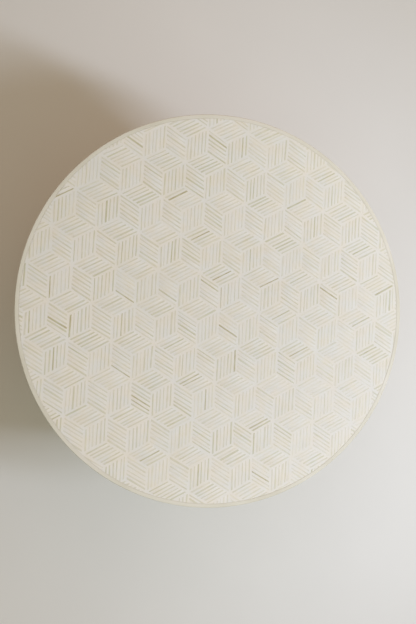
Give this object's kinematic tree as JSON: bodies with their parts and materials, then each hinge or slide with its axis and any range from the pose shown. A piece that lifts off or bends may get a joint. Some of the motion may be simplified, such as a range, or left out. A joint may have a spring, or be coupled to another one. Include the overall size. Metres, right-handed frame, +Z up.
{
  "type": "drum stool",
  "caption": "Round closed drum stool or side table, clad on its flat top and straight side with white bone inlay laid as tumbling blocks.",
  "frame": {"origin": "on the floor below the middle of the drum", "axes": "+Z up along the drum's axis; +Y is the top edge of the overhead picture and +X its right edge"},
  "size_m": [0.4, 0.4, 0.45],
  "materials": {
    "bone_inlay": "satin",
    "hardwood": "matte",
    "plywood": "matte",
    "nylon": "satin",
    "zinc_steel": "satin"
  },
  "bodies": {
    "root": {"top_inlay": "bone_inlay", "side_inlay": "bone_inlay", "top_board": "plywood", "upper_ring_block_01": "plywood", "upper_ring_block_02": "plywood", "upper_ring_block_03": "plywood", "upper_ring_block_04": "plywood", "upper_ring_block_05": "plywood", "upper_ring_block_06": "plywood", "base_ring_block_01": "plywood", "base_ring_block_02": "plywood", "base_ring_block_03": "plywood", "base_ring_block_04": "plywood", "base_ring_block_05": "plywood", "base_ring_block_06": "plywood", "stave_01": "hardwood", "stave_02": "hardwood", "stave_03": "hardwood", "stave_04": "hardwood", "stave_05": "hardwood", "stave_06": "hardwood", "stave_07": "hardwood", "stave_08": "hardwood", "stave_09": "hardwood", "stave_10": "hardwood", "stave_11": "hardwood", "stave_12": "hardwood", "spline_01": "plywood", "spline_02": "plywood", "spline_03": "plywood", "spline_04": "plywood", "spline_05": "plywood", "spline_06": "plywood", "spline_07": "plywood", "spline_08": "plywood", "spline_09": "plywood", "spline_10": "plywood", "spline_11": "plywood", "spline_12": "plywood", "top_screw_01": "zinc_steel", "top_screw_02": "zinc_steel", "top_screw_03": "zinc_steel", "top_screw_04": "zinc_steel", "top_screw_05": "zinc_steel", "top_screw_06": "zinc_steel", "glide_01": "nylon", "glide_02": "nylon", "glide_03": "nylon", "glide_04": "nylon", "glide_05": "nylon", "glide_06": "nylon", "glide_screw_01": "zinc_steel", "glide_screw_02": "zinc_steel", "glide_screw_03": "zinc_steel", "glide_screw_04": "zinc_steel", "glide_screw_05": "zinc_steel", "glide_screw_06": "zinc_steel"}
  },
  "joints": []
}
